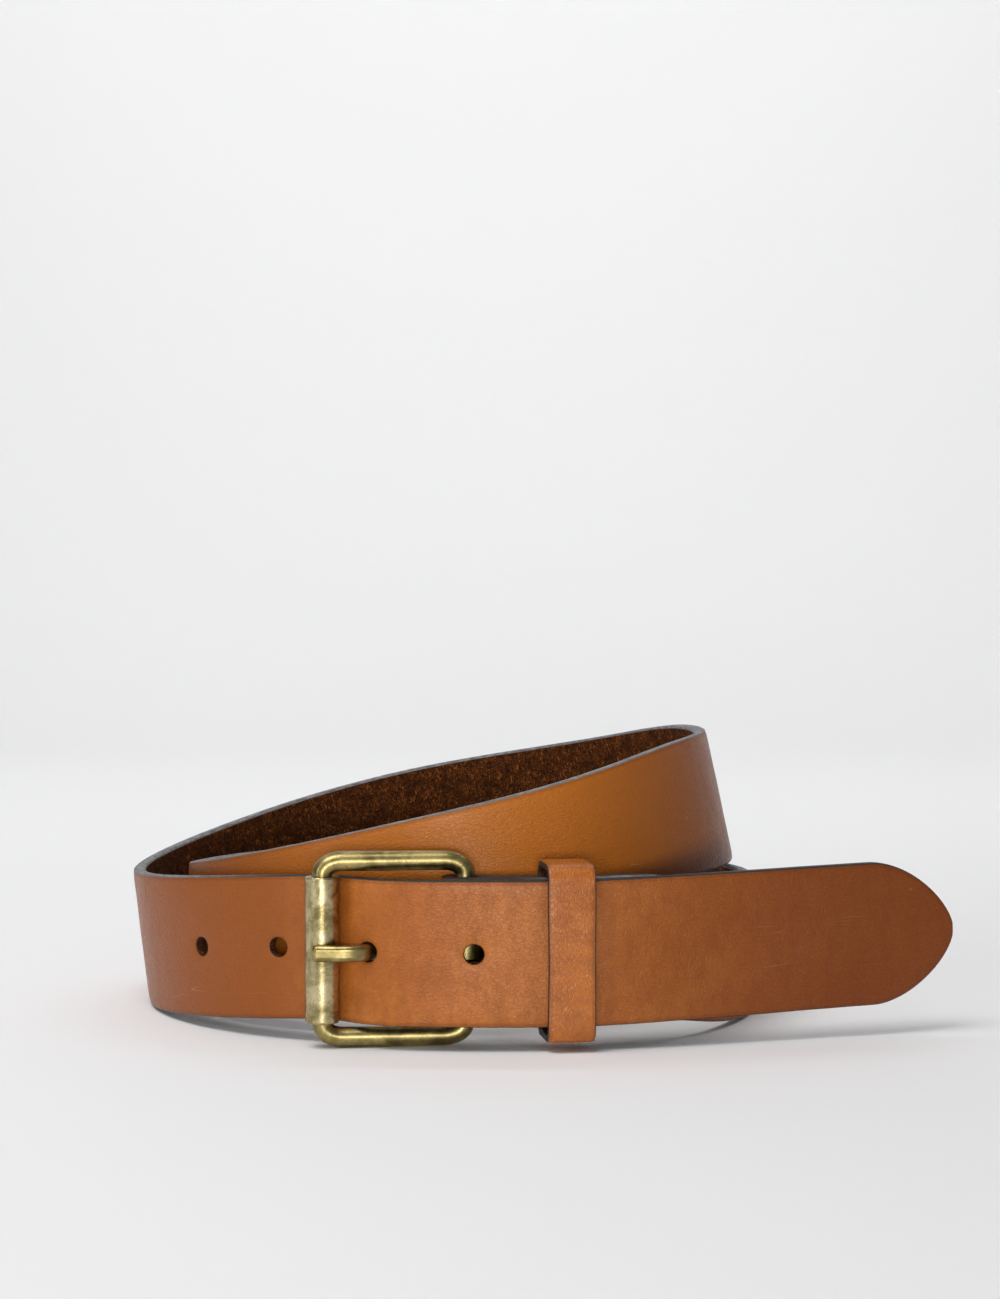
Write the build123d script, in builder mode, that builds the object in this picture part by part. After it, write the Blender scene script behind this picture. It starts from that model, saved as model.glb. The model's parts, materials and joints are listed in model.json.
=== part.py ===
from build123d import *
from math import atan2, cos, degrees, radians, sin, tau
import os

import numpy as np

# leather
strap_width = 35.0
strap_thickness = 3.4
keeper_width = 11.3
keeper_wall = 2.0
keeper_slack = 3.7          # inside height beyond the strap
tip_length = 22.0
# prong holes, counted from the one in use: two spare towards the left, two towards the tip
hole_diameter = 4.7
hole_pitch = 25.4
holes_each_side = 2
# buckle
wire_diameter = 4.8
frame_reach = 34.4          # heel bar to roller, centre to centre
frame_slack = 2.5           # opening beyond the strap
frame_corner = (5.2, 3.4)   # along the side bars, along the end bars
frame_tilt = 6.0            # how far the roller stands out from the strap
roller_diameter = 8.2
roller_slack = 0.2          # length beyond the strap
roller_seam = 0.4
prong_side_gap = 0.35       # prong to the side of its hole
prong_thickness = 2.8
prong_eye_wall = 2.8
prong_slot_side = 0.8       # slot beyond the prong, on each side
# fold screws
screw_head_diameter = 9.0
screw_head_height = 1.3
barrel_diameter = 5.0
screw_diameter = 3.1
screw_slot = 1.0
screw_offsets = (11.5, 37.0)    # from the heel bar, either side of the keeper
flap_length = 47.0
keeper_offset = 24.2            # heel bar to the keeper's middle
staple_wire = 0.9
staple_height = 7.0
staple_spacing = 4.6
# clearances
running_gap = 0.08
press_gap = 0.05
lap_gap = 0.3               # between a screw head and the layer that lies on it
seat_gap = 0.25             # flat screw head to the curved strap
layer_gap = 0.15            # between the strap and its folded end
side_gap = 1.0              # strap to side bar
keeper_gap = 0.5
roller_gap = 0.2            # roller to strap
turn_gap = 0.9              # upper turn above the lower one

# origin, under the middle of the whole belt
middle_x = 7.61
middle_y = 81.51

half = strap_thickness / 2
prong_width = hole_diameter - 2 * prong_side_gap
keeper_height = strap_width + keeper_slack + 2 * keeper_wall
frame_opening = strap_width + frame_slack
roller_length = strap_width + roller_slack
lap = strap_thickness + screw_head_height + seat_gap + lap_gap     # outer layer to the one behind it
fold_step = strap_thickness + layer_gap                 # strap to its folded end
fold_radius = wire_diameter / 2 + running_gap + half
roller_radius = roller_diameter / 2
rest = wire_diameter + side_gap                         # lower edge of the strap in the buckle
lift = strap_width + turn_gap                           # lower edge where it crosses itself

heel_x = -8.4
heel_y = 1.8 + lap + fold_radius
tilt = radians(frame_tilt)
roller_x = heel_x - frame_reach * cos(tilt)
roller_y = heel_y - frame_reach * sin(tilt)
behind_roller = roller_radius + roller_gap + half
strap_slope = radians(33)

# the strap's middle line, from the tip to the heel bar: x, y, lower edge, lean of the upper edge
stations = [
    (112, 33, rest + 2.0, 0), (88, 24.5, rest + 1.6, 0), (64, 16.5, rest + 1.0, 0),
    (42, 9, rest + 0.5, 0), (19.3, 3.3, rest, 0), (-6.1, 1.8, rest, 0), (-20, 2.7, rest, 0),
    (-31, 5.9, rest, 0),
    (roller_x + behind_roller * sin(strap_slope), roller_y + behind_roller * cos(strap_slope), rest, 0),
    (-52.6, 20, rest - 0.8, 0), (-72.3, 36.5, rest - 2.9, 2), (-90.8, 80, 0.3, 7),
    (-74, 134, 0.17 * lift, 4), (-20, 163, 0.56 * lift, 0), (32, 147, 0.84 * lift, -4),
    (54, 115, lift, -8), (60.3, 88, 1.02 * lift, -12), (49, 54, 0.98 * lift, -9),
    (24, 31, 0.79 * lift, -3), (-15, 22.5, 0.53 * lift, 0), (-57.5, 38, 0.24 * lift, 0),
    (-79.8, 76, 2, 0), (-66, 122, -0.1, 0), (-17, 150, -0.1, 0), (31, 131, -0.1, 0),
    (53, 104, -0.1, 0), (64, 74, 0, 0), (54, 36, 1.6, 0), (38, 16.5 + lap - 5, rest - 0.6, 0),
    (19.3, 3.7 + lap, rest, 0), (4, 2.0 + lap, rest, 0), (heel_x, 1.8 + lap, rest, 0),
]
buckle_hole_x = -31.0


def natural_spline(knots, values):
    """Smooth curve through the values; returns a function of the knot distance."""
    count = len(knots)
    step = np.diff(knots)
    system = np.eye(count)
    load = np.zeros_like(values)
    for i in range(1, count - 1):
        system[i, i - 1:i + 2] = step[i - 1], 2 * (step[i - 1] + step[i]), step[i]
        load[i] = 6 * ((values[i + 1] - values[i]) / step[i] - (values[i] - values[i - 1]) / step[i - 1])
    bend = np.linalg.solve(system, load)

    def at(distance):
        i = min(max(int(np.searchsorted(knots, distance)) - 1, 0), count - 2)
        a = (knots[i + 1] - distance) / step[i]
        b = 1 - a
        curve = ((a ** 3 - a) * bend[i] + (b ** 3 - b) * bend[i + 1]) * step[i] ** 2 / 6
        return a * values[i] + b * values[i + 1] + curve

    return at


station_values = np.array(stations, float)
station_values[:, 0] -= middle_x
station_values[:, 1] -= middle_y
knots = np.concatenate([[0], np.cumsum(np.linalg.norm(np.diff(station_values[:, :2], axis=0), axis=1))])
strap_line = natural_spline(knots, station_values)
strap_end = knots[-1]


def strap_plane(distance, inward=0.0):
    """Section plane of the strap: origin on its lower edge, x outward, y up, z along the strap."""
    foot = strap_line(distance)
    ahead, behind = strap_line(distance + 0.05), strap_line(distance - 0.05)
    along = Vector(*(ahead - behind)[:3])
    outward = Vector(-along.Y, along.X, 0).normalized()
    leaning = outward.rotate(Axis((0, 0, 0), tuple(along)), -foot[3])
    return Plane(origin=Vector(*foot[:3]) - outward * inward, x_dir=leaning, z_dir=along)


def nearest_distance(x, low, high):
    """Distance along the strap at which its middle line has this x."""
    samples = np.linspace(low, high, 400)
    return samples[int(np.argmin([abs(strap_line(s)[0] - (x - middle_x)) for s in samples]))]


buckle_hole = nearest_distance(buckle_hole_x, knots[5], knots[9])
hole_distances = [buckle_hole + i * hole_pitch for i in range(-holes_each_side, holes_each_side + 1)]
mid_height = rest + strap_width / 2

# the buckle's own frame: x from the heel bar to the roller, y outward, z up
end_plane = strap_plane(strap_end)
heel = end_plane.origin + Vector(0, 0, strap_width / 2) - end_plane.x_dir * fold_radius
reach_dir = Vector(-cos(tilt), -sin(tilt), 0)
buckle_plan = Plane(origin=heel, x_dir=reach_dir, z_dir=(0, 0, 1))


def fold_plane(offset, layer):
    """Section plane at this offset from the heel bar, on the strap (0) or its folded end (1)."""
    close = min(max(offset / (screw_offsets[0] - screw_head_diameter / 2), 0), 1)
    close = close * close * (3 - 2 * close)
    open_step = 2 * fold_radius
    step = open_step + (fold_step - open_step) * close
    return strap_plane(strap_end - offset, step * layer)


def strap_section(plane):
    with BuildSketch(plane) as section:
        Rectangle(strap_thickness, strap_width, align=(Align.CENTER, Align.MIN))
    return section.sketch.face()


# strap
section_count = 110
flap_count = 14
with BuildPart() as strap:
    loft([strap_section(strap_plane(s)) for s in np.linspace(0, strap_end, section_count)])
    fold_axis = Axis(heel, (0, 0, 1))
    with BuildSketch(end_plane):
        Rectangle(strap_thickness, strap_width, align=(Align.CENTER, Align.MIN))
    revolve(axis=fold_axis, revolution_arc=-181)
    flap_offsets = np.linspace(0, flap_length, flap_count)
    loft([strap_section(fold_plane(s, 1)) for s in flap_offsets])
    # level lower edge that the belt stands on
    with Locations((0, 0, 0)):
        Box(300, 300, 10, align=(Align.CENTER, Align.CENTER, Align.MAX), mode=Mode.SUBTRACT)
    # rounded point
    tip_plane = strap_plane(0.05)
    with BuildSketch(Plane(origin=tip_plane.origin, x_dir=-tip_plane.z_dir, z_dir=tip_plane.x_dir)):
        with BuildLine():
            middle = strap_width / 2
            Polyline((-tip_length, strap_width), (-tip_length, strap_width + 5), (5, strap_width + 5),
                     (5, -5), (-tip_length, -5), (-tip_length, 0))
            Bezier((-tip_length, 0), (-0.55 * tip_length, 0), (0, 0.6 * middle), (0, middle))
            Bezier((0, middle), (0, 1.4 * middle), (-0.55 * tip_length, strap_width), (-tip_length, strap_width))
        make_face()
    extrude(amount=2 * strap_thickness, both=True, mode=Mode.SUBTRACT)
    # prong holes
    for s in hole_distances:
        plane = strap_plane(s)
        centre = plane.origin + plane.y_dir * strap_width / 2
        with Locations(Plane(origin=centre, z_dir=plane.x_dir).location):
            Cylinder(hole_diameter / 2, strap_thickness + 1.2, mode=Mode.SUBTRACT)
    # screw holes through the strap and its folded end
    for offset in screw_offsets:
        plane = fold_plane(offset, 0.5)
        centre = plane.origin + plane.y_dir * strap_width / 2
        with Locations(Plane(origin=centre, z_dir=plane.x_dir).location):
            Cylinder(barrel_diameter / 2 + press_gap, 2 * strap_thickness + 1, mode=Mode.SUBTRACT)
    # slot for the prong
    slot_height = prong_width + 2 * prong_slot_side
    slot_reach = wire_diameter / 2 + prong_eye_wall + 1.2
    slot_depth = 2 * (fold_radius + strap_thickness)
    with BuildSketch(Plane(origin=heel, x_dir=reach_dir, z_dir=buckle_plan.y_dir)):
        with Locations((slot_reach / 2, 0)):
            SlotOverall(3 * slot_reach, slot_height)
    extrude(amount=slot_depth / 2, both=True, mode=Mode.SUBTRACT)
strap.part.label = "strap"

# keeper: a loop round the strap, its folded end and the strap's tip end
stack = lap + fold_step + strap_thickness
keeper_plane = strap_plane(strap_end - keeper_offset, (fold_step - lap) / 2)
keeper_middle = keeper_plane.origin + keeper_plane.y_dir * strap_width / 2
keeper_section = Plane(origin=keeper_middle, x_dir=keeper_plane.x_dir, z_dir=keeper_plane.z_dir)
keeper_inside = stack + 2 * keeper_gap
keeper_depth = keeper_inside + 2 * keeper_wall
keeper_corner = 3.6
with BuildPart() as keeper:
    with BuildSketch(keeper_section):
        RectangleRounded(keeper_depth, keeper_height, keeper_corner)
        RectangleRounded(keeper_inside, keeper_height - 2 * keeper_wall, keeper_corner - keeper_wall,
                         mode=Mode.SUBTRACT)
    extrude(amount=keeper_width / 2, both=True)
    # butted ends, at the middle of the inner wall
    with Locations(keeper_section.location * Location((-(keeper_inside + keeper_wall) / 2, 0, 0))):
        Box(keeper_wall + 0.4, 0.2, keeper_width + 1, mode=Mode.SUBTRACT)
    # staple holes
    with Locations(keeper_section.location * Location((-(keeper_inside + keeper_wall) / 2, 0, 0))):
        with GridLocations(1, staple_height - staple_wire, 1, 2):
            for side in (-0.5, 0.5):
                with Locations((0, 0, side * staple_spacing)):
                    Cylinder(staple_wire / 2 + press_gap, keeper_wall + 0.4, rotation=(0, 90, 0),
                             mode=Mode.SUBTRACT)
keeper.part.label = "keeper"

# staples that join the keeper's ends
crown = -(keeper_inside / 2 + keeper_wall + staple_wire / 2)
leg = keeper_wall + staple_wire / 2 - press_gap
with BuildPart() as keeper_staples:
    for side in (-0.5, 0.5):
        level = keeper_section.offset(side * staple_spacing)
        rise = (staple_height - staple_wire) / 2
        with BuildLine(level) as bend:
            FilletPolyline((crown + leg, -rise), (crown, -rise), (crown, rise), (crown + leg, rise),
                           radius=0.5)
        with BuildSketch(Plane(origin=bend.line @ 0, z_dir=bend.line % 0)):
            Circle(staple_wire / 2)
        sweep(path=bend.line)
keeper_staples.part.label = "keeper_staples"

# buckle frame: one closed wire loop, heel bar at the origin of its plane
bar_gap = frame_opening + wire_diameter
frame_middle = (wire_diameter + bar_gap) / 2 - mid_height
frame_face = Plane(origin=heel + Vector(0, 0, frame_middle), x_dir=reach_dir, z_dir=-buckle_plan.y_dir)
with BuildPart() as buckle_frame:
    with BuildLine(frame_face) as loop:
        along, across = frame_corner
        rise = bar_gap / 2
        Line((0, across - rise), (0, rise - across))
        Line((frame_reach, across - rise), (frame_reach, rise - across))
        for side in (-1, 1):
            Line((along, side * rise), (frame_reach - along, side * rise))
            for bar, way in ((0, 1), (frame_reach, -1)):
                Bezier((bar, side * (rise - across)), (bar, side * (rise - 0.35 * across)),
                       (bar + way * 0.45 * along, side * rise), (bar + way * along, side * rise))
    frame_wire = loop.wires()[0]
    with BuildSketch(Plane(origin=frame_wire @ 0, z_dir=frame_wire % 0)):
        Circle(wire_diameter / 2)
    sweep(path=frame_wire)
buckle_frame.part.label = "buckle_frame"

# roller: a rolled tube with an open seam
roller_axis = buckle_plan.location * Location((frame_reach, 0, frame_middle))
with BuildPart() as roller:
    with Locations(roller_axis):
        Cylinder(roller_radius, roller_length)
        Cylinder(wire_diameter / 2 + running_gap, roller_length + 1, mode=Mode.SUBTRACT)
        with Locations((0, -roller_radius, 0)):
            Box(roller_seam, 2 * roller_radius, roller_length + 1, mode=Mode.SUBTRACT)
    fillet(roller.edges().filter_by(GeomType.CIRCLE).group_by(SortBy.RADIUS)[-1], 0.5)
roller.part.label = "roller"

# prong: an eye curled round the heel bar, under the strap, up through its hole and over the roller
eye_bore = wire_diameter / 2 + running_gap
eye_radius = eye_bore + prong_eye_wall
over_roller = roller_radius + prong_thickness / 2 + 0.05
neck = eye_bore + 0.55 * prong_thickness
under_lap = lap + fold_radius - half        # heel bar's middle to the back of the outer layer
with BuildPart() as prong:
    with BuildLine(buckle_plan) as prong_line:
        Spline((neck * cos(radians(40)), neck * sin(radians(40))), (7.0, 0.3), (13.0, -0.4),
               (18.4, under_lap - 8.03), (22.6, under_lap - 5.43), (25.4, under_lap - 2.03),
               (29.6, over_roller + 0.8), (frame_reach, over_roller + 0.1),
               (frame_reach + 2.6, over_roller - 0.15))
    with BuildSketch(Plane(origin=prong_line.line @ 0, x_dir=(0, 0, 1), z_dir=prong_line.line % 0)):
        RectangleRounded(prong_width, prong_thickness, 0.43 * prong_thickness)
    sweep(path=prong_line.line)
    fillet(prong.faces().sort_by(Axis(heel, reach_dir))[-1].edges(), 1.0)
    with Locations(buckle_plan.location):
        Cylinder(eye_radius, prong_width)
        Cylinder(eye_bore, prong_width + 1, mode=Mode.SUBTRACT)
        with Locations((eye_radius, -1.6, 0)):
            Box(2 * prong_eye_wall, 0.3, prong_width + 1, mode=Mode.SUBTRACT)
prong.part.label = "prong"

# two-part screws that hold the fold: posts with their heads outward, slotted screws inside
posts = []
screws = []
barrel = strap_thickness + fold_step + 2 * seat_gap
for number, offset in enumerate(screw_offsets, 1):
    plane = strap_plane(strap_end - offset, (strap_thickness + fold_step) / 2 - half)
    centre = plane.origin + plane.y_dir * strap_width / 2
    bore = Plane(origin=centre, x_dir=plane.y_dir, z_dir=plane.x_dir)
    with BuildPart() as post:
        with BuildSketch(bore.offset(barrel / 2)):
            Circle(screw_head_diameter / 2)
        extrude(amount=screw_head_height)
        fillet(post.faces().sort_by(Axis(centre, plane.x_dir))[-1].edges(), 0.6)
        with BuildSketch(bore.offset(barrel / 2)):
            Circle(barrel_diameter / 2)
            Circle(screw_diameter / 2 + press_gap, mode=Mode.SUBTRACT)
        extrude(amount=-(barrel - 0.2))
    post.part.label = f"screw_post_{number}"
    posts.append(post)
    with BuildPart() as screw:
        with BuildSketch(bore.offset(-barrel / 2)):
            Circle(screw_head_diameter / 2)
        extrude(amount=-screw_head_height)
        fillet(screw.faces().sort_by(Axis(centre, plane.x_dir))[0].edges(), 0.6)
        with BuildSketch(bore.offset(-barrel / 2 - screw_head_height)):
            Rectangle(screw_head_diameter + 1, screw_slot)
        extrude(amount=0.6, mode=Mode.SUBTRACT)
        with BuildSketch(bore.offset(-barrel / 2)):
            Circle(screw_diameter / 2)
        extrude(amount=barrel - 0.5)
    screw.part.label = f"screw_{number}"
    screws.append(screw)

os.makedirs("parts", exist_ok=True)
for piece in [strap, keeper, keeper_staples, buckle_frame, roller, prong, *posts, *screws]:
    export_step(piece.part, f"parts/{piece.part.label}.step")
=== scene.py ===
import bpy
import math
import numpy as np
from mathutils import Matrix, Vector
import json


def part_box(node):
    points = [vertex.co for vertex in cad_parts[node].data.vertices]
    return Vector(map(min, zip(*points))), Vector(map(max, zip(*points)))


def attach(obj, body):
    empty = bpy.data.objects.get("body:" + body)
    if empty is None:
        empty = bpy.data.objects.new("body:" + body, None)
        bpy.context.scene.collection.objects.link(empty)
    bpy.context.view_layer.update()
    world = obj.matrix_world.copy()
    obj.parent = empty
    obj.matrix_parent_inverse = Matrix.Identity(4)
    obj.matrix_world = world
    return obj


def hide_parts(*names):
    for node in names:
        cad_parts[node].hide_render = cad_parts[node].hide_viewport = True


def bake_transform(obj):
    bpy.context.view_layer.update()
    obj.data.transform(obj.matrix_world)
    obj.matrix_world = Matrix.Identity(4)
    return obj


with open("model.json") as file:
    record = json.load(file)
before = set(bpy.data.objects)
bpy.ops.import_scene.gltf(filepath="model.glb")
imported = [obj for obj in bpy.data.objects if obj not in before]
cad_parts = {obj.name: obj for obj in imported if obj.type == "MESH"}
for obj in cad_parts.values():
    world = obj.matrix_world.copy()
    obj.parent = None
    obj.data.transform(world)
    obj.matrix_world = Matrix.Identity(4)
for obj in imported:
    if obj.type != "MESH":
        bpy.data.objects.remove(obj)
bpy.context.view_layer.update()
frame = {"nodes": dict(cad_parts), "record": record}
mm = 0.001
joints = {joint["name"]: joint for joint in frame["record"]["behaviour"]["joints"]}

belt = {
    "width": 35.0, "thickness": 3.4, "edgeRound": 0.75,
    "lapStep": 5.25,          # from the outer layer's middle line to the layer under it
    "crossingGap": 0.9,       # air where the second turn crosses over the first
    "frontY": 1.8,            # the outer layer's middle line in the buckle, before centring
    "foldStep": 3.55, "foldCloses": 7.0, "flapLength": 47.0,
    "holeDiameter": 4.7, "holePitch": 25.4, "holesEachSide": 2, "buckleHoleX": -31.0,
    "tipLength": 22.0, "tipFullness": 0.55, "tipShoulder": 0.6,
    "behindRoller": 6.0, "slopeAtRoller": 33.0,
    "slotHeight": 5.6, "slotReach": 6.4, "slotCells": 34,
    "alongStep": 1.7, "holeBlock": 8.4, "holeCells": 16,
    "unevenness": 0.10, "fleshUneven": 0.05, "edgeUneven": 0.05,
    "dishDepth": 0.28, "dishReach": 0.9, "arrisDepth": 0.16, "arrisReach": 0.8,
    "lapStart": 112.0, "lapEnd": 225.0,     # the stretch that follows the buckle when it turns
}
middle = np.array([7.61, 81.51])    # the coil is laid out from the buckle's front, then centred
tiny = 1e-6

heelSpot = np.array(joints["buckle_tilt"]["pos_m"]) / mm
rollerSpot = np.array(joints["roller_spin"]["pos_m"]) / mm
lowEdge = heelSpot[2] - belt["width"] / 2      # strap's lower edge in the buckle
lift = belt["width"] + belt["crossingGap"]
foldRadius = heelSpot[1] + middle[1] - belt["frontY"] - belt["lapStep"]
slope = math.radians(belt["slopeAtRoller"])
rollerX, rollerY = rollerSpot[:2] + middle
lap = belt["lapStep"]

# the strap's middle line from the tip to the heel bar: x, y, lower edge, lean of the upper edge
stations = np.array([
    (112, 33, lowEdge + 2.0, 0), (88, 24.5, lowEdge + 1.6, 0), (64, 16.5, lowEdge + 1.0, 0),
    (42, 9, lowEdge + 0.5, 0), (19.3, 3.3, lowEdge, 0), (-6.1, 1.8, lowEdge, 0), (-20, 2.7, lowEdge, 0),
    (-31, 5.9, lowEdge, 0),
    (rollerX + belt["behindRoller"] * math.sin(slope), rollerY + belt["behindRoller"] * math.cos(slope),
     lowEdge, 0),
    (-52.6, 20, lowEdge - 0.8, 0), (-72.3, 36.5, lowEdge - 2.9, 2), (-90.8, 80, 0.3, 7),
    (-74, 134, 0.17 * lift, 4), (-20, 163, 0.56 * lift, 0), (32, 147, 0.84 * lift, -4),
    (54, 115, lift, -8), (60.3, 88, 1.02 * lift, -12), (49, 54, 0.98 * lift, -9),
    (24, 31, 0.79 * lift, -3), (-15, 22.5, 0.53 * lift, 0), (-57.5, 38, 0.24 * lift, 0),
    (-79.8, 76, 2, 0), (-66, 122, 0.05, 0), (-17, 150, 0.05, 0), (31, 131, 0.05, 0),
    (53, 104, 0.05, 0), (64, 74, 0.05, 0), (54, 36, 1.6, 0), (38, 16.5 + lap - 5, lowEdge - 0.6, 0),
    (19.3, 3.7 + lap, lowEdge, 0), (4, 2.0 + lap, lowEdge, 0), (-8.4, 1.8 + lap, lowEdge, 0),
], float)
stations[:, :2] -= middle


def naturalSpline(knots, values):
    # a smooth curve through the values, with no bend at its two ends
    count = len(knots)
    step = np.diff(knots)
    system = np.eye(count)
    load = np.zeros_like(values)
    for i in range(1, count - 1):
        system[i, i - 1:i + 2] = step[i - 1], 2 * (step[i - 1] + step[i]), step[i]
        load[i] = 6 * ((values[i + 1] - values[i]) / step[i] - (values[i] - values[i - 1]) / step[i - 1])
    bend = np.linalg.solve(system, load)

    def at(distance):
        i = np.clip(np.searchsorted(knots, distance) - 1, 0, count - 2)
        a = ((knots[i + 1] - distance) / step[i])[:, None]
        b = 1 - a
        curve = ((a ** 3 - a) * bend[i] + (b ** 3 - b) * bend[i + 1]) * step[i][:, None] ** 2 / 6
        return a * values[i] + b * values[i + 1] + curve

    return at


knots = np.concatenate([[0], np.cumsum(np.linalg.norm(np.diff(stations[:, :2], axis=0), axis=1))])
beltLine = naturalSpline(knots, stations)
strapEnd = knots[-1]
foldLength = math.pi * foldRadius
flapStart = strapEnd + foldLength
flapEnd = flapStart + belt["flapLength"]


def unit(vectors):
    return vectors / np.linalg.norm(vectors, axis=1)[:, None]


def plainSection(distance, near=0.05):
    # foot, outward and upward directions of the strap's section
    foot = beltLine(distance)
    along = unit((beltLine(distance + near) - beltLine(distance - near))[:, :3])
    out = unit(np.stack([-along[:, 1], along[:, 0], 0 * distance], 1))
    up = np.cross(along, out)
    lean = np.radians(foot[:, 3])[:, None]
    return foot[:, :3], out * np.cos(lean) - up * np.sin(lean), out * np.sin(lean) + up * np.cos(lean)


def sectionAt(distance):
    # the strap, then round the heel bar, then back along the folded end
    distance = np.atleast_1d(np.asarray(distance, float))
    offset = np.clip(distance - flapStart, 0, None)
    onFlap = distance > flapStart
    foot, out, up = plainSection(np.where(onFlap, strapEnd - offset, np.minimum(distance, strapEnd)))
    close = np.clip(offset / belt["foldCloses"], 0, 1)
    close = close * close * (3 - 2 * close)
    step = 2 * foldRadius + (belt["foldStep"] - 2 * foldRadius) * close
    turn = np.clip((distance - strapEnd) / foldRadius, 0, math.pi)
    folded = distance > strapEnd
    centre = foot - out * foldRadius
    side = np.cross(out, up)
    turnedOut = out * np.cos(turn)[:, None] + side * np.sin(turn)[:, None]
    newFoot = np.where(folded[:, None], centre + turnedOut * foldRadius, foot)
    newFoot = np.where(onFlap[:, None], foot - out * step[:, None], newFoot)
    newOut = np.where(folded[:, None], turnedOut, out)
    newOut = np.where(onFlap[:, None], -out, newOut)
    return newFoot, newOut, up


def nearestDistance(x, low, high):
    samples = np.linspace(low, high, 400)
    return samples[np.argmin(np.abs(beltLine(samples)[:, 0] - (x - middle[0])))]


buckleHole = nearestDistance(belt["buckleHoleX"], knots[5], knots[9])
holeSpots = [buckleHole + i * belt["holePitch"] for i in range(-belt["holesEachSide"], belt["holesEachSide"] + 1)]


def ripple(a, b, seed):
    # slow unevenness of hand-cut leather, a few waves of different lengths
    total = 0
    for k, (fa, fb) in enumerate(((0.055, 0.09), (0.13, -0.17), (0.31, 0.23), (0.62, -0.41))):
        wave = np.sin(a * fa + b * fb + seed * (1.7 + k))
        total = total + wave * np.cos(b * fb * 1.3 - a * fa * 0.6 + seed + k) / (1 + k)
    return total / 2


def tipReach(t):
    # distance from the point along its curve, t from 1 at the point to 0 where the strap is full width
    return belt["tipLength"] * ((1 - t) ** 3 + belt["tipFullness"] * 3 * (1 - t) ** 2 * t)


def tipHalfWidth(distance):
    # half the strap's width on the rounded point
    t = np.linspace(0, 1, 400)
    y = belt["width"] / 2 * (1 - 3 * (1 - t) * t ** 2 * belt["tipShoulder"] - t ** 3)
    return np.interp(distance, tipReach(t)[::-1], y[::-1])


def strapPoint(distance, height, outward):
    # points of the strap from distance along, height above the lower edge and offset outward
    foot, out, up = sectionAt(distance)
    return (foot + out * np.asarray(outward)[:, None] + up * np.asarray(height)[:, None]) * mm


def holeDish(distance, height):
    # the grain side is drawn in a little round each punched hole
    dish = 0 * distance
    for spot in holeSpots:
        r = np.hypot(distance - spot, height - belt["width"] / 2)
        worn = 1.6 if spot == buckleHole else 1.0     # the hole in use is pulled deeper
        past = np.clip(r - belt["holeDiameter"] / 2, 0, None)
        dish = dish + worn * belt["dishDepth"] * np.exp(-past / belt["dishReach"])
    return dish


fleshSide = -0.9


class MeshBook:
    # collects points and faces with their values, and makes one mesh of them
    def __init__(self):
        self.points, self.hide, self.skin, self.rim, self.faces = [], [], [], [], []

    def add(self, points, hide, skin, rim):
        start = len(self.points)
        self.points.extend(points)
        self.hide.extend(hide)
        self.skin.extend(skin)
        self.rim.extend(rim)
        return np.arange(start, len(self.points))

    def make(self, name, material):
        # hide is a place on the leather, skin is 1 on the grain side and -1 on the flesh side,
        # rim is the distance in from the arris; flesh faces take the second material
        mesh = bpy.data.meshes.new(name)
        faces = [tuple(int(i) for i in f) for f in self.faces]
        mesh.from_pydata([tuple(p) for p in self.points], [], faces)
        for key, kind, values in (("hide", "FLOAT_VECTOR", self.hide), ("skin", "FLOAT", self.skin),
                                  ("rim", "FLOAT", self.rim)):
            layer = mesh.attributes.new(key, kind, "POINT")
            field = "vector" if kind == "FLOAT_VECTOR" else "value"
            layer.data.foreach_set(field, np.asarray(values, np.float32).ravel())
        mesh.polygons.foreach_set("use_smooth", [True] * len(mesh.polygons))
        for finish in material:
            mesh.materials.append(finish)
        skin = np.array(self.skin)
        mesh.polygons.foreach_set("material_index", [int(skin[list(f)].max() < fleshSide) for f in faces])
        mesh.update()
        thing = bpy.data.objects.new(name, mesh)
        bpy.context.scene.collection.objects.link(thing)
        return thing


def crossSection(width, thickness, roundness, heights):
    # loop of (outward, height, skin, rim): up the grain side, over the top edge, down the flesh side
    half = thickness / 2
    loop = []
    for h in heights:
        loop.append((half, h, 1.0, min(h, width - h) - roundness))
    arc = [(roundness * math.cos(a), roundness * math.sin(a)) for a in np.radians((22, 45, 68))]
    topGrain, lowGrain = (1.0, 0.40, 0.0), (1.0, 0.9, 0.0)    # how far the grain runs over each arris
    core = roundness - half
    crown = 0.06
    for (reach, rise), k in zip(arc, topGrain):
        loop.append((-core + reach, width - roundness + rise, k, 0.0))
    for x in (-core, 0.0, core):
        loop.append((x, width + crown * (1 - abs(x) / half), 0.0, 0.0))
    for reach, rise in reversed(arc):
        loop.append((core - reach, width - roundness + rise, 0.0, 0.0))
    for h in reversed(heights):
        loop.append((-half, h, -1.0, min(h, width - h) - roundness))
    for reach, rise in arc:
        loop.append((core - reach, roundness - rise, 0.0, 0.0))
    for x in (core, 0.0, -core):
        loop.append((x, 0.0, 0.0, 0.0))
    for (reach, rise), k in reversed(list(zip(arc, lowGrain))):
        loop.append((-core + reach, roundness - rise, k, 0.0))
    return loop


edgePoints = 9      # points of the section between its grain side and its flesh side


def heightStops(width, roundness, block, cells):
    # heights across the strap, close together where the holes are
    mid = width / 2
    low = [roundness, roundness + 0.25, roundness + 0.7]
    low += list(np.linspace(roundness + 1.5, mid - block / 2, 8))
    centre = list(np.linspace(mid - block / 2, mid + block / 2, cells + 1))[1:-1]
    return low + centre + [width - h for h in reversed(low)]


def alongStops(start, end, blocks):
    # distances along the strap, with an even block at each hole
    stops = []
    at = start
    for low, high, cells in sorted(blocks) + [(end, end, 0)]:
        count = max(1, round((low - at) / belt["alongStep"]))
        stops += list(np.linspace(at, low, count + 1))[:-1] if low > at else []
        if cells:
            stops += list(np.linspace(low, high, cells + 1))[:-1]
        at = high
    return np.array(stops + [end])


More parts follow.
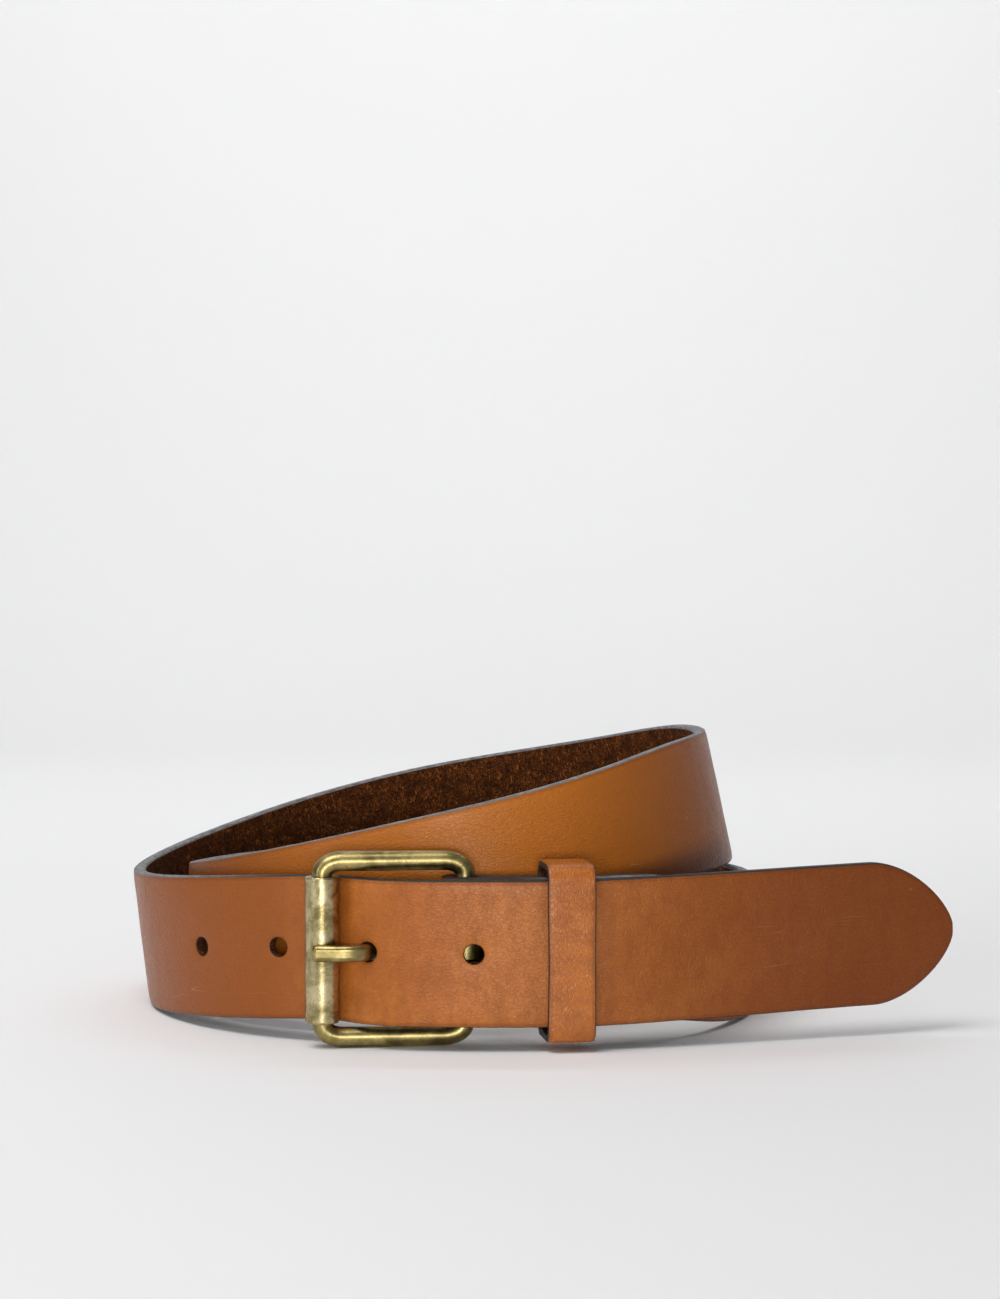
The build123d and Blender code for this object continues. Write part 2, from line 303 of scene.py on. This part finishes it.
def outline(rowIds, colIds):
    # the grid points round a block of rows and heights, in order
    edge = [(rowIds[0], j) for j in colIds] + [(i, colIds[-1]) for i in rowIds[1:]]
    edge += [(rowIds[-1], j) for j in reversed(colIds[:-1])]
    return edge + [(i, colIds[0]) for i in reversed(rowIds[1:-1])]


def bridge(book, a, b):
    # a band of faces between two rings of points
    count = len(a)
    for q in range(count):
        book.faces.append((a[q], a[(q + 1) % count], b[(q + 1) % count], b[q]))


def onHide(d, h, skin, o):
    # where a point lies on the leather, with its two sides kept apart
    return np.stack([d, h, 3.0 * skin + 0.4 * o], 1)


def strapRow(book, s, section):
    # one section of the strap, narrowed on the point and rounded off at its very end
    outs, ups, skins, rims = section
    w, e = belt["width"], belt["edgeRound"]
    d, h, rim = np.full(len(outs), s), ups, rims
    if s < belt["tipLength"]:
        squeeze = max((float(tipHalfWidth(s)) - e) / (w / 2 - e), 0.01)
        inner = np.clip(h, e, w - e)
        h = w / 2 + (inner - w / 2) * squeeze + (h - inner)
        rim = np.minimum(rim * squeeze, np.maximum(s * 0.9 - 0.4, 0))
    o = outs + belt["unevenness"] * ripple(d, h, 2.0)
    worn = holeDish(d, h) + belt["arrisDepth"] * np.exp(-np.clip(rim, 0, None) / belt["arrisReach"])
    o = o - np.where(skins > 0.5, worn, 0)
    o = o + np.where(skins < -0.5, belt["fleshUneven"] * ripple(d * 3.1, h * 3.3, 5.0), 0)
    h = h + np.where(np.abs(skins) < 0.5, belt["edgeUneven"] * ripple(d * 1.9, o, 3.0), 0)
    if s < e:
        limit = belt["thickness"] / 2 - e + math.sqrt(max(e ** 2 - (e - s) ** 2, 0))
        o = np.clip(o, -limit, limit)
    skin = np.where(s < 0.12, 0.0, skins)     # the first row is all edge
    return book.add(strapPoint(d, h, o), onHide(d, h, skin, o), skin, rim)


holeRings = (    # distance out from the hole, depth under the grain, and 1 grain, 0 wall or -1 flesh
    (1.45, 0, 1), (1.1, 0, 1), (0.8, 0, 1), (0.55, 0, 1), (0.35, 0.02, 1), (0.18, 0.07, 1), (0.06, 0.18, 1),
    (0.02, 0.4, 0), (0.03, 1.2, 0), (0.08, 2.2, 0), (0.22, 3.0, 0),
    (0.4, 3.36, -1), (0.75, 3.4, -1), (1.4, 3.4, -1),
)


def buildHole(book, spot, corners, grainRing, fleshRing):
    # a punched hole, in rings from the grain side down its wall to the flesh side
    w, t = belt["width"], belt["thickness"]
    angles = np.array([math.atan2(h - w / 2, s - spot) for s, h in corners])
    rings = [grainRing]
    for r, deep, side in holeRings:
        reach = belt["holeDiameter"] / 2 + r
        d, h = spot + reach * np.cos(angles), w / 2 + reach * np.sin(angles)
        o = t / 2 - deep + belt["unevenness"] * ripple(d, h, 2.0)
        if side == 1:
            o = o - holeDish(d, h)
        elif side == 0:
            wall = 0.03 * ripple(angles * 40, np.full(len(angles), deep * 9.0), 1.0)
            d, h = d + wall * np.cos(angles), h + wall * np.sin(angles)
            if deep < 1:     # stay under the dished grain
                o = np.minimum(o, t / 2 - holeDish(d, h) - 0.3)
        onGrain = side == 1 and deep < 0.1
        skin = np.full(len(angles), 1.0 if onGrain else -0.8 if side >= 0 else -1.0)
        rim = np.full(len(angles), 0.35 + 1.8 * r if side == 1 else 0.3)
        rings.append(book.add(strapPoint(d, h, o), onHide(d, h, skin, o), skin, rim))
    for a, b in zip(rings, rings[1:] + [fleshRing]):
        bridge(book, a, b)


def buildStrap(name, start, end, finish):
    w, block = belt["width"], belt["holeBlock"]
    holes = [s for s in holeSpots if start < s < end]
    blocks = [(s - block / 2, s + block / 2, belt["holeCells"]) for s in holes]
    atTip, atFold = start < belt["tipLength"], end > strapEnd
    slotLow, slotHigh = strapEnd - belt["slotReach"], flapStart + belt["slotReach"]
    if atFold:
        blocks.append((slotLow, slotHigh, belt["slotCells"]))
    heights = heightStops(w, belt["edgeRound"], block, belt["holeCells"])
    stops = alongStops(start, end, blocks)
    if atTip:     # rows close up towards the point
        beyondTip = stops[stops > belt["tipLength"] + 0.8]
        stops = np.concatenate([tipReach(np.linspace(0.985, 0.0, 26)), beyondTip])
    loop = crossSection(w, belt["thickness"], belt["edgeRound"], heights)
    section = [np.array(column) for column in zip(*loop)]
    book = MeshBook()
    rows = [strapRow(book, s, section) for s in stops]
    count, fleshFirst = len(loop), len(heights) + edgePoints
    fleshLast = fleshFirst + len(heights) - 1
    blockLow, blockHigh = w / 2 - block / 2 - tiny, w / 2 + block / 2 + tiny

    def inSlot(h):
        return abs(h - w / 2) < belt["slotHeight"] / 2

    def opened(i, j):
        # is the cell between rows i, i + 1 and heights j, j + 1 inside a hole's block or the slot
        s, h = (stops[i] + stops[i + 1]) / 2, (heights[j] + heights[j + 1]) / 2
        if blockLow < h < blockHigh and any(abs(s - spot) < block / 2 for spot in holes):
            return True
        return atFold and slotLow < s < slotHigh and inSlot(h)

    for i in range(len(stops) - 1):
        for j in range(count):
            k = (j + 1) % count
            if j < len(heights) - 1 and opened(i, j):
                continue
            if fleshFirst <= j < fleshLast and opened(i, fleshLast - 1 - j):
                continue
            book.faces.append((rows[i][j], rows[i][k], rows[i + 1][k], rows[i + 1][j]))

    def bothSides(edge):
        return [rows[i][j] for i, j in edge], [rows[i][fleshLast - j] for i, j in edge]

    for spot in holes:
        rowIds = [i for i, s in enumerate(stops) if abs(s - spot) < block / 2 + tiny]
        colIds = [j for j, h in enumerate(heights) if blockLow <= h <= blockHigh]
        edge = outline(rowIds, colIds)
        buildHole(book, spot, [(stops[i], heights[j]) for i, j in edge], *bothSides(edge))
    if atFold:     # the slot that the prong passes through
        rowIds = [i for i, s in enumerate(stops) if slotLow - tiny <= s <= slotHigh + tiny]
        colIds = [j for j in range(len(heights) - 1) if inSlot((heights[j] + heights[j + 1]) / 2)]
        bridge(book, *bothSides(outline(rowIds, colIds + [colIds[-1] + 1])))
    if atTip:
        book.faces.append(tuple(reversed(rows[0])))
    if atFold:
        book.faces.append(tuple(rows[-1]))
    thing = book.make(name, finish)
    print("strap piece", name, len(stops), "rows", len(book.faces), "faces")
    return thing


class Value:
    # a shader socket that can be written in expressions
    def __init__(self, kit, socket):
        self.kit, self.socket = kit, socket

    def math(self, operation, a, b=None):
        return self.kit.node("ShaderNodeMath", {"operation": operation}, {0: a} if b is None else {0: a, 1: b})

    def __add__(self, other): return self.math("ADD", self, other)
    def __radd__(self, other): return self.math("ADD", other, self)
    def __sub__(self, other): return self.math("SUBTRACT", self, other)
    def __rsub__(self, other): return self.math("SUBTRACT", other, self)
    def __mul__(self, other): return self.math("MULTIPLY", self, other)
    def __rmul__(self, other): return self.math("MULTIPLY", other, self)


class Finish:
    # one material and the nodes that make it
    def __init__(self, name, **fixed):
        self.material = bpy.data.materials.new(name)
        self.material.use_nodes = True
        self.tree = self.material.node_tree
        self.shader = self.tree.nodes["Principled BSDF"]
        for socket, value in fixed.items():
            self.shader.inputs[socket.replace("_", " ")].default_value = value

    def node(self, kind, settings=None, inputs=None, output=0):
        made = self.tree.nodes.new(kind)
        for key, value in (settings or {}).items():
            setattr(made, key, value)
        for key, value in (inputs or {}).items():
            if isinstance(value, Value):
                self.tree.links.new(value.socket, made.inputs[key])
            else:
                made.inputs[key].default_value = value
        return Value(self, made.outputs[output])

    def feed(self, socket, value):
        self.tree.links.new(value.socket, self.shader.inputs[socket])

    def named(self, name, output="Vector"):
        return self.node("ShaderNodeAttribute", {"attribute_name": name}, output=output)

    def noise(self, place, scale=1.0, detail=3.0, rough=0.5, twist=0.0):
        return self.node("ShaderNodeTexNoise", {}, {"Vector": place, "Scale": scale, "Detail": detail,
                                                   "Roughness": rough, "Distortion": twist})

    def cells(self, place, scale=1.0, feature="F1"):
        return self.node("ShaderNodeTexVoronoi", {"feature": feature}, {"Vector": place, "Scale": scale})

    def stretched(self, place, sizes, turn=0.0):
        # sizes under 1 draw a pattern out, turn is about the leather's outward direction
        return self.node("ShaderNodeMapping", {}, {"Vector": place, "Rotation": (0, 0, turn), "Scale": sizes})

    def ramp(self, factor, low, high, start=0.0, end=1.0):
        return self.node("ShaderNodeMapRange", {"interpolation_type": "SMOOTHSTEP"},
                         {"Value": factor, "From Min": low, "From Max": high, "To Min": start, "To Max": end})

    def blend(self, factor, a, b):
        # Mix in colour mode keeps colours as colours
        inputs = {0: factor, 6: a, 7: b}
        for key in (6, 7):
            if not isinstance(inputs[key], Value):
                inputs[key] = (*inputs[key], 1)
        return self.node("ShaderNodeMix", {"data_type": "RGBA"}, inputs, output=2)

    def bump(self, height, strength, distance):
        return self.node("ShaderNodeBump", {}, {"Height": height, "Strength": strength, "Distance": distance})


leather = {
    # the grain side
    "light": (0.49, 0.158, 0.028), "tan": (0.40, 0.115, 0.016), "deep": (0.265, 0.070, 0.009),
    # burnish is both the real darkening at pores and arrises and the colour of a painted shadow
    "burnishAndShadow": (0.13, 0.034, 0.008), "pale": (0.60, 0.31, 0.14),
    # tail is a painted shade tone for the point of the strap
    "tail": (0.150, 0.029, 0.0015), "amberPaintedLight": (0.60, 0.185, 0.014),
    # the painted edges
    # the near black edge colour is painted shade
    "edge": (0.270, 0.265, 0.265), "edgeDark": (0.085, 0.080, 0.078), "edgeInShade": (0.014, 0.012, 0.011),
    # the flesh side
    "flesh": (0.026, 0.0070, 0.0018), "nap": (0.115, 0.0320, 0.0065), "fleck": (0.46, 0.150, 0.030),
    # how strong each tone is, and where along the strap it comes and goes, in mm from the point
    # the tip values paint shade: the tail darkens towards its point, where it turns away from the light
    "tipShade": 0.85, "tipShadeFades": (128.0, 22.0),
    # the bend values paint shade: from the bend left of the buckle on, the strap is darkened towards deep where
    # it turns away from the light
    "bendShade": 0.95, "bendShadeComes": (155.0, 178.0),
    # the amber values paint light: the second turn is brightened where more light falls on it
    "amberLightTone": 0.62, "amberLightComes": (495.0, 575.0), "amberLightGoes": (670.0, 590.0),
    # the four values on the next line paint the first turn's shadow along the lower edge of the second turn
    "shadowTone": 0.85, "shadowHeight": (11.0, 3.5), "shadowComes": (470.0, 520.0), "shadowGoes": (740.0, 700.0),
    # the three values on the next line place the painted shade black on the edges
    "edgeShadeTone": 0.92, "edgeShadeFade": 50.0, "foldEdgeShade": (990.0, 1010.0),
    "roughness": 0.36, "grainDepth": 0.00014, "grainBump": 0.75,
}


def makeLeather(name, shade=1.0, gleam=0.22, polish=0.0, edgeShadeTo=165.0, bendShade=leather["bendShade"]):
    kit = Finish(name, Specular_IOR_Level=gleam, Coat_Roughness=0.25)
    ramp, noise, stretched = kit.ramp, kit.noise, kit.stretched
    hide = kit.named("hide")
    skin = kit.named("skin", "Fac")
    rim = kit.named("rim", "Fac")
    along = kit.node("ShaderNodeSeparateXYZ", {}, {"Vector": hide})
    across = kit.node("ShaderNodeSeparateXYZ", {}, {"Vector": hide}, output=1)
    cloud = noise(stretched(hide, (0.022, 0.045, 0.1), 0.25), rough=0.55, twist=0.4)
    patch = noise(stretched(hide, (0.34, 0.14, 0.2)), detail=5.0, rough=0.62)
    mottle = noise(hide, 0.55, 4.0, 0.75)
    fine = noise(hide, detail=5.0, rough=0.70)
    speckle = noise(hide, 2.1, rough=0.7)
    pore = ramp(kit.cells(hide, 1.1), 0.06, 0.20, 1.0, 0.0) * ramp(noise(hide, 0.13, 2.0), 0.45, 0.65)
    wrinkle = kit.cells(stretched(hide, (0.75, 1.15, 0.9), 0.2), feature="DISTANCE_TO_EDGE")

    def hairlines(turn, level, width):
        # long faint lines that wander a little and fade in and out
        line = noise(stretched(hide, (0.010, 0.16, 0.0), turn), 1.0, 1.0, 0.3, 0.15) - level
        shown = ramp(noise(stretched(hide, (0.05, 0.10, 0.0), turn), detail=2.0), 0.56 + level * 0.05, 0.68)
        return ramp(line.math("ABSOLUTE", line), 0.0, width, 1.0, 0.0) * shown

    scratch = hairlines(0.12, 0.47, 0.0022) + hairlines(0.95, 0.52, 0.0026) + hairlines(-0.8, 0.45, 0.0020)
    # painted light: the second turn is brightened to amber where more light falls on it
    amberPaintedLight = ramp(along, *leather["amberLightComes"]) * ramp(along, *leather["amberLightGoes"]) * leather["amberLightTone"]
    # painted shadow: the lower edge of the second turn is darkened where the first turn's shadow falls on it
    paintedShadow = ramp(across + (cloud - 0.5) * 3.0, *leather["shadowHeight"]) * leather["shadowTone"]
    paintedShadow = paintedShadow * ramp(along, *leather["shadowComes"]) * ramp(along, *leather["shadowGoes"])
    rimWobble = rim + (noise(hide, 0.5) - 0.5) * 0.8
    body = kit.blend(ramp(cloud, 0.32, 0.68), [c * shade for c in leather["tan"]],
                     [c * shade for c in leather["light"]])
    for amount, tone in (
            (ramp(patch, 0.36, 0.70) * 0.5, "deep"), (ramp(fine, 0.40, 0.66) * 0.35, "deep"),
            (ramp(speckle, 0.56, 0.70) * 0.16, "pale"),
            # painted shade: the tail darkens towards its point, where it turns away from the light
            (ramp(along, *leather["tipShadeFades"]) * leather["tipShade"], "tail"),
            # painted shade: from the bend left of the buckle on, darkened towards deep where the strap turns away
            # from the light
            (ramp(along, *leather["bendShadeComes"]) * bendShade, "deep"),
            (amberPaintedLight, "amberPaintedLight"), (paintedShadow, "burnishAndShadow"), (pore * 0.50, "burnishAndShadow"),
            (ramp(mottle, 0.56, 0.72) * 0.35, "deep"), (scratch * 0.46, "pale"),
            (ramp(rimWobble, 0.0, 0.6, 0.32, 0.0), "burnishAndShadow")):
        body = kit.blend(amount, body, leather[tone])

    nap = noise(stretched(hide, (0.8, 0.6, 1.0), 0.5), 1.0, 7.0, 0.8, 1.6)
    napCoarse = noise(hide, 0.24, 4.0, 0.7)
    fibre = noise(stretched(hide, (1.5, 0.7, 1.0), 0.9), 1.0, 4.0, 0.7, 2.0)
    flecks = ramp(fibre, 0.54, 0.63) * ramp(napCoarse, 0.66, 0.42) * 0.8
    fleshTone = kit.blend(ramp(nap, 0.40, 0.62), leather["flesh"], leather["nap"])
    fleshTone = kit.blend(ramp(napCoarse, 0.42, 0.72) * 0.45, fleshTone, leather["flesh"])
    fleshTone = kit.blend(flecks, fleshTone, leather["fleck"])

    edgeNoise = noise(stretched(hide, (0.5, 1.5, 3.0)), detail=4.0, rough=0.7)
    # painted shade: edges go near black where they sit in shade, from the point to the bend, near the fold, and
    # all round the keeper
    shadedEdges = ramp(along, edgeShadeTo + leather["edgeShadeFade"], edgeShadeTo) + ramp(along, *leather["foldEdgeShade"])
    edgeTone = kit.blend(ramp(edgeNoise, 0.35, 0.68), leather["edgeDark"], leather["edge"])
    edgeTone = kit.blend(shadedEdges * leather["edgeShadeTone"], edgeTone, leather["edgeInShade"])

    # skin, wavered a little, says which of the three a point shows
    wobble = skin + (noise(hide, 0.9, 3.0, 0.6) - 0.5) * 0.30
    onGrain = ramp(wobble, 0.44, 0.56)
    onFlesh = ramp(wobble, -0.30, -0.55)
    colour = kit.blend(onGrain, edgeTone, body)
    kit.feed("Base Color", kit.blend(onFlesh, colour, fleshTone))
    grainGloss = leather["roughness"] - polish + (fine - 0.5) * 0.50 + (patch - 0.5) * 0.25 + pore * 0.12
    kit.feed("Roughness", onGrain * grainGloss + (1.0 - onGrain) * (0.52 + onFlesh * 0.40))
    kit.feed("Coat Weight", onGrain * 0.06)
    grain = ramp(wrinkle, 0.0, 0.14) * 0.5 + fine * 0.7 + speckle * 0.35 - pore * 0.6 - scratch * 0.4
    height = grain * onGrain + (nap * 2.5 + fibre * 2.5) * onFlesh + edgeNoise * (1.0 - onGrain) * 0.5
    kit.feed("Normal", kit.bump(height, leather["grainBump"], leather["grainDepth"]))
    return kit.material


metal = {
    "gold": (0.46, 0.365, 0.145), "pale": (0.60, 0.51, 0.29), "olive": (0.23, 0.180, 0.066),
    "tarnish": (0.035, 0.028, 0.015), "worn": (0.62, 0.57, 0.42),
    "steel": (0.42, 0.41, 0.40), "steelDark": (0.23, 0.225, 0.22), "steelWorn": (0.7, 0.69, 0.68),
    "roughness": 0.35, "pitDepth": 0.00012, "pitBump": 0.35,
}


def makeMetal(name, mottling=1.0, polish=0.0, bright="gold", dull="olive", worn="worn"):
    kit = Finish(name, Metallic=1.0, Coat_Roughness=0.22)
    ramp, noise, stretched = kit.ramp, kit.noise, kit.stretched
    place = stretched(kit.node("ShaderNodeTexCoord", output=3), (1 / mm,) * 3)
    cloud = noise(place, 0.20, 4.0, 0.60, 0.5)
    spot = noise(stretched(place, (1.2, 1.2, 0.8)), 1.5, 6.0, 0.70, 0.3)
    fleck = noise(place, 3.4, 4.0, 0.75)
    pit = ramp(kit.cells(place, 1.7), 0.05, 0.2, 1.0, 0.0) * ramp(cloud, 0.45, 0.6)
    dark = ramp(spot, 0.52, 0.68) * ramp(cloud, 0.36, 0.60) * (0.62 * mottling)
    colour = kit.blend(ramp(cloud, 0.34, 0.66), metal[dull], metal[bright])
    for amount, tone in ((dark, "tarnish"), (ramp(fleck, 0.60, 0.74) * 0.35, worn), (pit * 0.6, "tarnish")):
        colour = kit.blend(amount, colour, metal[tone])
    kit.feed("Base Color", colour)
    roughness = metal["roughness"] - polish + (cloud - 0.5) * 0.25 + dark * 0.22 + (fleck - 0.5) * 0.12
    kit.feed("Roughness", roughness)
    kit.feed("Coat Weight", ramp(spot, 0.62, 0.40) * 0.25)
    kit.feed("Normal", kit.bump(spot * 0.6 + fleck * 0.25 - pit * 0.8, metal["pitBump"], metal["pitDepth"]))
    return kit.material


strapLeather = makeLeather("strapLeather"), makeLeather("strapFlesh", gleam=0.10)
# the keeper's edges are painted near black all round, as shade
keeperLeather = (makeLeather("keeperLeather", 1.15, gleam=0.32, polish=0.08, edgeShadeTo=900.0, bendShade=0.15),
                 makeLeather("keeperFlesh", 1.02, gleam=0.10))
screwBrass = makeMetal("screwBrass", 0.6, 0.03)
finishes = {
    "buckle_frame": makeMetal("antiqueBrass", 0.9),
    "roller": makeMetal("rollerBrass", 1.0, 0.06, "pale"),
    "prong": makeMetal("prongBrass", 0.7, 0.02),
    "keeper_staples": makeMetal("stapleSteel", 0.4, 0.02, "steel", "steelDark", "steelWorn"),
}
for name, thing in frame["nodes"].items():
    finish = finishes.get(name, screwBrass if name.startswith("screw") else None)
    if finish is not None:
        thing.data.materials.clear()
        thing.data.materials.append(finish)
print("finishes ready")

lapStart, lapEnd = belt["lapStart"], belt["lapEnd"]
overRoller = nearestDistance(rollerX + 3.0, knots[6], knots[9])
tail = buildStrap("strap_tail", 0.0, lapStart, strapLeather)
lapRight = buildStrap("strap_over_heel", lapStart, overRoller, strapLeather)
lapLeft = buildStrap("strap_over_roller", overRoller, lapEnd, strapLeather)
coil = buildStrap("strap_coil", lapEnd, flapEnd, strapLeather)


def beltMiddle(distance):
    foot, out, up = sectionAt(distance)
    return tuple((foot + up * belt["width"] / 2)[0] * mm)


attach(tail, "belt")
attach(coil, "belt")
beltMiddle(lapStart + 3)
beltMiddle(buckleHole - 4)
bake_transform(lapRight)
beltMiddle(overRoller + 2)
beltMiddle(lapEnd - 3)
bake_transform(lapLeft)
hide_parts("strap")

keeper = {
    "width": 11.3, "wall": 2.0, "height": 42.7, "depth": 17.2, "corner": 3.6, "edgeRound": 0.55,
    "frontCrown": 0.35, "topCrown": 0.25, "buttGap": 0.2, "arrisDepth": 0.14, "arrisReach": 0.7,
    "hideAlong": 300.0, "hideAcross": 60.0,     # the place on the hide that it is cut from
}


def buildKeeper(finish):
    low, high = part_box("keeper")
    middleSpot = np.array((low + high) / 2) / mm
    slide = unit(np.array([joints["keeper_slide"]["axis"]], float))[0]
    out = np.array([-slide[1], slide[0], 0.0])
    halfX = (keeper["depth"] - keeper["wall"]) / 2
    halfZ = (keeper["height"] - keeper["wall"]) / 2
    r = keeper["corner"] - keeper["wall"] / 2
    inX, inZ, butt = halfX - r, halfZ - r, keeper["buttGap"] / 2

    def corner(cx, cz, start):
        turns = [(math.cos(a), math.sin(a)) for a in np.radians(range(start + 9, start + 90, 9))]
        return [(cx + r * c, cz + r * s, c, s) for c, s in turns]

    # middle line of the wall, from the butt at the back, down, forward, up the front and back over the top
    line = [(-halfX, -z, -1.0, 0.0) for z in np.linspace(butt, inZ, 14)] + corner(-inX, -inZ, 180)
    line += [(x, -halfZ, 0.0, -1.0) for x in np.linspace(-inX, inX, 8)] + corner(inX, -inZ, 270)
    line += [(halfX, z, 1.0, 0.0) for z in np.linspace(-inZ, inZ, 34)] + corner(inX, inZ, 0)
    line += [(x, halfZ, 0.0, 1.0) for x in np.linspace(inX, -inX, 8)] + corner(-inX, inZ, 90)
    line += [(-halfX, z, -1.0, 0.0) for z in np.linspace(inZ, butt, 14)]
    line = np.array(line)
    travel = np.concatenate([[0], np.cumsum(np.linalg.norm(np.diff(line[:, :2], axis=0), axis=1))])
    w, e = keeper["width"], keeper["edgeRound"]
    heights = [e, e + 0.25, e + 0.7, *np.linspace(e + 1.3, w - e - 1.3, 9), w - e - 0.7, w - e - 0.25, w - e]
    outs, ups, skins, rims = map(np.array, zip(*crossSection(w, keeper["wall"], e, heights)))
    book = MeshBook()
    rows = []
    for (x, z, nx, nz), u in zip(line, travel):
        front = math.cos(z / halfZ * math.pi / 2) if nx > 0.5 else 0.0
        top = max(nz, 0) * math.cos(x / halfX * math.pi / 2)
        d = np.full(len(outs), u + keeper["hideAlong"])
        o = outs + keeper["frontCrown"] * front * nx + keeper["topCrown"] * top
        o = o + 0.05 * ripple(d * 2, ups, 4.0)
        worn = keeper["arrisDepth"] * np.exp(-np.clip(rims, 0, None) / keeper["arrisReach"])
        o = o - np.where(skins > 0.5, worn, 0)
        across = (ups - w / 2) * (1 + 0.012 * math.sin(u * 0.21)) + 0.06 * ripple(d, 0 * d, 7.0)
        spots = middleSpot + np.outer(x + nx * o, out) + np.outer(across, -slide)
        spots[:, 2] += z + nz * o
        rows.append(book.add(spots * mm, onHide(d, ups + keeper["hideAcross"], skins, o), skins, rims))
    for a, b in zip(rows, rows[1:]):
        bridge(book, a, b)
    book.faces.append(tuple(reversed(rows[0])))
    book.faces.append(tuple(rows[-1]))
    thing = book.make("keeper_loop", finish)
    print("keeper", len(book.faces), "faces")
    return thing


keeperLoop = buildKeeper(keeperLeather)
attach(keeperLoop, "keeper")
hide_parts("keeper")

studio = {
    "floor": (0.93, 0.93, 0.93), "world": (0.95, 0.96, 1.0), "worldStrength": 0.20,
    "sweepHalfWidth": 3.2, "sweepTop": 1.9, "sweepBack": 0.9, "sweepRadius": 0.5, "floorGap": 0.0002,
    "lamps": {
        "front": {"spot": (-0.02, -1.12, 0.075), "aim": (-0.02, -0.05, 0.03), "size": (0.34, 0.13), "power": 3.9},
        "side": {"spot": (-0.78, -0.62, 0.34), "aim": (0, -0.05, 0.03), "size": (0.09, 0.62), "power": 1.35},
        "top": {"spot": (-0.28, -0.38, 0.95), "aim": (0, 0.0, 0.0), "size": (0.6, 0.5), "power": 5.9},
        "far": {"spot": (0, -1.3, 1.2), "aim": (0, -2.6, 0), "size": (2.0, 0.5), "power": 14.0},
        "backdrop": {"spot": (0, 0.45, 1.0), "aim": (0, 1.3, 0.25), "size": (1.6, 0.3), "power": 7.0},
    },
    "cameraSpot": (-0.0076, -0.7895, 0.1232), "cameraDown": 2.22, "lens": 83.14, "sensorWidth": 36.0,
}


def makeStudio():
    # a floor that sweeps up behind the belt and behind the camera
    back, radius, top = studio["sweepBack"], studio["sweepRadius"], studio["sweepTop"]
    curve = [(back + radius * math.sin(a), radius - radius * math.cos(a)) for a in np.radians(range(9, 91, 9))]
    profile = [(-3.6, top), (-3.6, 0.6), (-3.42, 0.18), (-3.0, 0.0), (back, 0.0), *curve, (back + radius, top)]
    side, count = studio["sweepHalfWidth"], len(profile)
    points = [(x, y, z - studio["floorGap"]) for x in (-side, side) for y, z in profile]
    mesh = bpy.data.meshes.new("sweep")
    mesh.from_pydata(points, [], [(i, i + count, i + count + 1, i + 1) for i in range(count - 1)])
    mesh.polygons.foreach_set("use_smooth", [True] * len(mesh.polygons))
    paper = Finish("paper", Roughness=0.85, Base_Color=(*studio["floor"], 1))
    mesh.materials.append(paper.material)
    sweep = bpy.data.objects.new("sweep", mesh)
    bpy.context.scene.collection.objects.link(sweep)
    world = bpy.data.worlds.new("studio")
    world.use_nodes = True
    sky = world.node_tree.nodes["Background"].inputs
    sky[0].default_value, sky[1].default_value = (*studio["world"], 1), studio["worldStrength"]
    bpy.context.scene.world = world
    for name, made in studio["lamps"].items():
        lamp = bpy.data.lights.new(name, "AREA")
        lamp.shape, lamp.energy = "RECTANGLE", made["power"]
        lamp.size, lamp.size_y = made["size"]
        holder = bpy.data.objects.new(name, lamp)
        holder.location = made["spot"]
        holder.rotation_euler = (Vector(made["aim"]) - holder.location).to_track_quat("-Z", "Y").to_euler()
        bpy.context.scene.collection.objects.link(holder)
    view = bpy.data.cameras.new("camera")
    view.lens, view.sensor_width = studio["lens"], studio["sensorWidth"]
    viewer = bpy.data.objects.new("camera", view)
    viewer.location = studio["cameraSpot"]
    viewer.rotation_euler = (math.radians(90 - studio["cameraDown"]), 0, 0)
    bpy.context.scene.collection.objects.link(viewer)
    bpy.context.scene.camera = viewer
    bpy.context.scene.view_settings.view_transform = "Standard"
    print("studio ready")


makeStudio()
